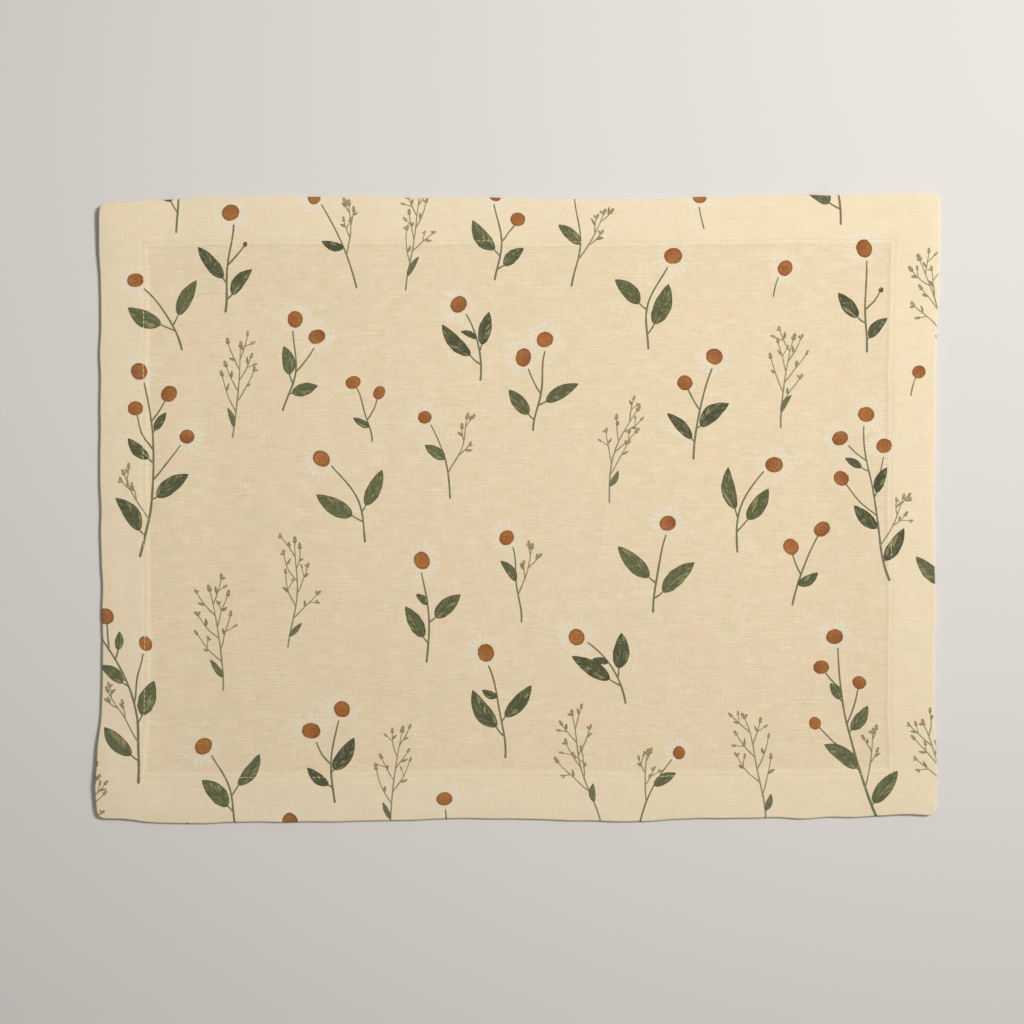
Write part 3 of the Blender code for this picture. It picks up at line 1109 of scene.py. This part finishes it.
def make_stitches(name, height_at, up, seed):
    """One line of lock stitches, each a short tapered grain of thread pulled into the cloth."""
    bpy.ops.object.select_all(action="DESELECT")
    bpy.ops.mesh.primitive_uv_sphere_add(
        segments=GRAIN_SIDES, ring_count=GRAIN_SIDES, radius=1, rotation=(0, UP, 0)
    )
    bpy.ops.object.transform_apply(location=False, rotation=True, scale=False)
    grain = bpy.context.object
    corners = np.array([vertex.co[:] for vertex in grain.data.vertices])
    faces = [list(face.vertices) for face in grain.data.polygons]
    wrap = np.array([loop.uv[:] for loop in grain.data.uv_layers[0].data])
    bpy.data.objects.remove(grain, do_unlink=True)

    rng = np.random.default_rng(seed)
    middle, heading = stitch_places()
    heading = heading + rng.normal(0, STITCH_SWING, len(middle)) + STITCH_LEAN
    half = STITCH_LENGTH / 2 * rng.uniform(*STITCH_EVENNESS, len(middle))
    reach = direction(heading) * half[:, None]
    centre = lay(middle, height_at(middle) + up * STITCH_SINK)
    ahead, behind = (lay(end, height_at(end)) for end in (middle + reach, middle - reach))
    along = (ahead - behind) / 2
    side = np.cross((0, 0, 1), along)
    side /= np.linalg.norm(side, axis=1, keepdims=True)
    rise = np.cross(along / np.linalg.norm(along, axis=1, keepdims=True), side)
    thick, high = STITCH_THICKNESS / 2 * MM, STITCH_HEIGHT / 2 * MM
    places = centre[:, None] + corners @ np.stack([along, side * thick, rise * high], axis=1)
    mesh = bpy.data.meshes.new(name)
    starts = range(0, len(middle) * len(corners), len(corners))
    mesh.from_pydata(
        places.reshape(-1, 3).tolist(), [],
        [[corner + start for corner in face] for start in starts for face in faces],
    )
    wraps = np.tile(wrap, (len(middle), 1))
    mesh.uv_layers.new(name="wrap").data.foreach_set("uv", wraps.ravel())
    mesh.shade_smooth()
    return into_scene(mesh)


# ---- finishes ----------------------------------------------------------------------------

MULTIPLY, ADD, SUBTRACT, DIVIDE = (
    {"operation": operation} for operation in ("MULTIPLY", "ADD", "SUBTRACT", "DIVIDE")
)
SMOOTH = {"interpolation_type": "SMOOTHSTEP"}
COLOUR = {"data_type": "RGBA"}  # a Mix node's share is input 0, and its colours are 6 and 7

LINEN_LIGHT = 0xF1DEBD
LINEN_DARK = 0xE0CBA5
LINEN_PINK = 0xEBD0B0
LINEN_GREEN = 0xDFD2AC
LINEN_DOUBLED = 0xF4E3C2
DOUBLED_SHOWS = 0.42
LEAF_KHAKI = 0xA39C6A
KHAKI_SHOWS = 0.8
CENTRE_GLOW = 0xC07A34
CENTRE_RIM = 0x80441D
INK_SHADE = 0x27271D

# Random clouds in the cloth: how wide and deep a cell is in mm, how much detail there is in it,
# and from which values to which it is spread, from low, to high, into low and into high
Cloud = namedtuple("Cloud", "wide deep detail span")
CLOUDS = {
    "weft": Cloud(10, 1.25, 2.0, None),
    "warp": Cloud(1.1, 7, 2.0, None),
    "slub": Cloud(2.4, 1.4, 2.0, None),
    "speckle": Cloud(0.9, 0.8, 2.0, None),
    "weft shows": Cloud(24, 18, 2.0, (0.38, 0.62, 0.3, 0.72)),
    "warp shows": Cloud(16, 22, 2.0, (0.42, 0.66, 0.06, 0.55)),
    "X rows show": Cloud(7, 13, 0.0, (0.56, 0.76, 0.02, 0.22)),
    "Y rows show": Cloud(13, 7, 0.0, (0.56, 0.76, 0.02, 0.22)),
    "blotches": Cloud(9, 6, 2.0, (0.3, 0.7, -0.055, 0.055)),
    "pink": Cloud(15, 11, 2.0, (0.42, 0.72, 0.0, 0.55)),
    "green": Cloud(18, 13, 2.0, (0.3, 0.52, 0.24, 0.0)),
    "disc blotches": Cloud(1.5, 1.3, 2.0, (0.35, 0.65, 0.2, 0.0)),
}
CLOUD_ROUGHNESS = 0.55
SLUB_SHOWS = 0.34

# Even rows of threads: mm from thread to thread, and how far and how finely they waver
THICK_ROWS = (1.5, 2.5, 2.0, 0.5)  # slubs, coarser than real threads, so that they show
FINE_ROWS = (0.72, 1.2, 1.0, 0.8)  # as in real linen
FINE_SHOWS = 0.06
WAVE_PERIOD = 0.31416  # what one band of a wave texture measures at scale 1
THREADS_SPAN = (-0.26, 0.26)  # from the darkest threads to the lightest
THREAD_HEIGHT = 0.12  # mm

STREAK_GAP = 1.2  # mm between the brushed streaks on a leaf
STREAK_LENGTH = 4.8
STREAK_SLANT = 0.42
LEAST_REACH = 0.1  # keeps what is measured in a shape's reach finite where there is no shape
RING_AT = 0.26  # of a disc's radius
DISC_UNEVENNESS = 0.3


def printed_linen():
    """Plain-woven linen, printed. Uneven threads streak it both ways, and it is quite matt."""
    material, node, surface = new_material("printed linen")
    mm = node("VectorMath", (node("UVMap", uv_map="cloth"), (1 / MM, 1 / MM, 0)), **MULTIPLY)
    cloud = {}
    for name, (wide, deep, detail, span) in CLOUDS.items():
        place = node("VectorMath", (mm, (1 / wide, 1 / deep, 1)), **MULTIPLY)
        cloud[name] = node("TexNoise", {
            "Vector": place, "Scale": 1.0, "Detail": detail, "Roughness": CLOUD_ROUGHNESS,
        })
        if span:
            cloud[name] = node("MapRange", (cloud[name], *span), **SMOOTH)

    # the threads: slubs along the weft and the warp that show in patches, over even rows
    threads = cloud["blotches"]
    swings = [
        (cloud["weft"], cloud["weft shows"]), (cloud["warp"], cloud["warp shows"]),
        (cloud["slub"], SLUB_SHOWS),
    ]
    for way in "XY":
        thick, fine = (
            node("TexWave", {
                "Vector": mm, "Scale": WAVE_PERIOD / pitch, "Distortion": distortion,
                "Detail": detail, "Detail Scale": detail_scale,
            }, bands_direction=way)
            for pitch, distortion, detail, detail_scale in (THICK_ROWS, FINE_ROWS)
        )
        swings.append((thick, cloud[way + " rows show"]))
        fine = node("MapRange", (fine, 0.0, 1.0, -FINE_SHOWS, FINE_SHOWS), **SMOOTH)
        threads = node("Math", (threads, fine), **ADD)
    for value, shows in swings:
        swing = node("Math", (node("Math", (value, 0.5), **SUBTRACT), shows), **MULTIPLY)
        threads = node("Math", (threads, swing), **ADD)
    thread = node("MapRange", (threads, *THREADS_SPAN), **SMOOTH)

    # the colour: light and dark threads, faint pink and green clouds, and a lighter double hem
    layers = node("Attribute", attribute_name="layers").outputs["Fac"]
    doubled = node("Math", (layers, DOUBLED_SHOWS), **MULTIPLY)
    linen = linear_colour(LINEN_DARK)
    for share, over in (
        (thread, LINEN_LIGHT), (cloud["pink"], LINEN_PINK), (cloud["green"], LINEN_GREEN),
        (doubled, LINEN_DOUBLED),
    ):
        linen = node("Mix", {0: share, 6: linen, 7: linear_colour(over)}, **COLOUR)

    # the ink: where in its shape a point is, and what kind of shape that is
    place, kind, tint = (
        node("Attribute", attribute_name=name).outputs["Vector"]
        for name in ("ink_place", "ink_kind", "ink_tint")
    )
    cover = node("Attribute", attribute_name="ink_cover").outputs["Fac"]
    along, across, reach = node("SeparateXYZ", [place]).outputs
    is_leaf, is_disc, seed = node("SeparateXYZ", [kind]).outputs
    aside = node("Math", [across], operation="ABSOLUTE")
    inside = node("Math", (reach, aside), **SUBTRACT)

    # a leaf's brushed streaks of khaki: they run along it and away from its rib, are new on
    # each leaf and on each side of its rib, and are stronger on one side
    slant = node("Math", (along, STREAK_SLANT), **MULTIPLY)
    slant = node("Math", (aside, slant), **SUBTRACT)
    new = node("Math", (seed, 90.0), **MULTIPLY)
    brushed = node("CombineXYZ", (
        node("Math", (slant, STREAK_GAP), **DIVIDE),
        node("Math", (along, STREAK_LENGTH), **DIVIDE),
        node("Math", (new, node("Math", [across], operation="SIGN")), **ADD),
    ))
    streak = node("TexNoise", {"Vector": brushed, "Scale": 1.0, "Detail": 2.0, "Roughness": 0.6})
    strong = node("Math", [node("Math", (seed, 0.5), **SUBTRACT)], operation="SIGN")
    strong = node("Math", (across, strong), **MULTIPLY)
    khaki = node("Math", (is_leaf, KHAKI_SHOWS), **MULTIPLY)
    for value, span in (
        (streak, (0.45, 0.66)), (strong, (-1.2, 1.2, 0.4, 1.0)), (inside, (0.15, 0.9)),
        (aside, (0.1, 0.5)),
    ):
        khaki = node("Math", (khaki, node("MapRange", (value, *span), **SMOOTH)), **MULTIPLY)

    # how far out in a flower's middle a point is, a little unevenly, and on its lit side or not
    least = node("Math", (reach, LEAST_REACH), operation="MAXIMUM")
    out = node("VectorMath", [node("CombineXYZ", (along, across))], operation="LENGTH")
    out = node("Math", (out, least), **DIVIDE)
    uneven = node("Math", (cloud["speckle"], 0.5), **SUBTRACT)
    uneven = node("Math", (uneven, DISC_UNEVENNESS), **MULTIPLY)
    out = node("Math", (out, uneven), **ADD)
    to_ring = node("Math", [node("Math", (out, RING_AT), **SUBTRACT)], operation="ABSOLUTE")
    lit_side = node("Math", (along, least), **DIVIDE)

    # a leaf is dark along its edge and rib, and a flower's middle has a dark rim, a faint inner
    # ring and a warm glow between them
    marks = {"blotches": node("Math", (cloud["disc blotches"], is_disc), **MULTIPLY)}
    for name, value, span, where in (
        ("edge", inside, (0.1, 0.6, 0.24, 0.0), is_leaf),
        ("rib", aside, (0.1, 0.4, 0.25, 0.0), is_leaf),
        ("ring", to_ring, (0.0, 0.14, 0.16, 0.0), is_disc),
        ("rim", out, (0.62, 0.98, 0.0, 0.5), is_disc),
        ("glow", lit_side, (-0.9, 0.9, 0.0, 0.6), is_disc),
    ):
        mark = node("MapRange", (value, *span), **SMOOTH)
        marks[name] = node("Math", (mark, where), **MULTIPLY)
    shade = node("MapRange", (cloud["speckle"], 0.35, 0.7, 0.2, -0.04), **SMOOTH)
    for name in ("edge", "rib", "ring", "blotches"):
        shade = node("Math", (shade, marks[name]), **ADD)
    ink = tint
    for share, over in (
        (khaki, LEAF_KHAKI), (marks["glow"], CENTRE_GLOW), (marks["rim"], CENTRE_RIM),
        (shade, INK_SHADE),
    ):
        ink = node("Mix", {0: share, 6: ink, 7: linear_colour(over)}, **COLOUR)

    # ink sits a little thinner on the raised threads
    thinner = node("MapRange", (thread, 0.3, 1.0, 1.0, 0.94), **SMOOTH)
    shown = node("Math", (cover, thinner), **MULTIPLY)
    fill(surface, {
        "Base Color": node("Mix", {0: shown, 6: linen, 7: ink}, **COLOUR),
        "Normal": node("Bump", {
            "Height": threads, "Strength": 0.35, "Distance": THREAD_HEIGHT * MM,
        }),
        "Roughness": 0.92,
        "Specular IOR Level": 0.25,
        "Sheen Weight": 0.08,
        "Sheen Roughness": 0.5,
    })
    return material


# the thread's colour on the ply's crests, lighter as painted light, and in its grooves, darker as
# painted shade
THREAD_CREST_LIGHT = 0xF3E4C0
THREAD_GROOVE_SHADE = 0xE2CFA2
PLIES_SHOWN = 5  # turns of the ply on one stitch
PLY_HEIGHT = 0.05  # mm


def sewing_thread():
    """Spun cotton sewing thread in the cloth's colour: a fine ply runs slantwise round it, with
    painted shade in its grooves and painted light on its crests.
    """
    material, node, surface = new_material("spun cotton thread")
    slant = node("VectorMath", (
        node("UVMap", uv_map="wrap"), (TURN, TURN * PLIES_SHOWN, 0),
    ), operation="DOT_PRODUCT")
    ply = node("MapRange", (node("Math", [slant], operation="SINE"), -1.0, 1.0))
    # the colour follows the ply's relief: painted shade in its grooves and painted light on its
    # crests
    fill(surface, {
        "Base Color": node("Mix", {
            0: ply, 6: linear_colour(THREAD_GROOVE_SHADE), 7: linear_colour(THREAD_CREST_LIGHT),
        }, **COLOUR),
        "Normal": node("Bump", {"Height": ply, "Strength": 0.4, "Distance": PLY_HEIGHT * MM}),
        "Roughness": 0.7,
        "Sheen Weight": 0.1,
    })
    return material


# ---- the finished scene ------------------------------------------------------------------

PRINT_SEED = 24

place_camera()
light_the_table()
lay_table()

linen = printed_linen()
thread = sewing_thread()

cloth = make_cloth(scatter_print(PRINT_SEED))
cloth.data.materials.append(linen)
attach(cloth, "root")
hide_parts("placemat")

stitches = [
    make_stitches("hem_stitches_top", top_height, 1, seed=21),
    make_stitches("hem_stitches_under", under_height, -1, seed=22),
]
for line in stitches:
    line.data.materials.append(thread)
    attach(line, "root")
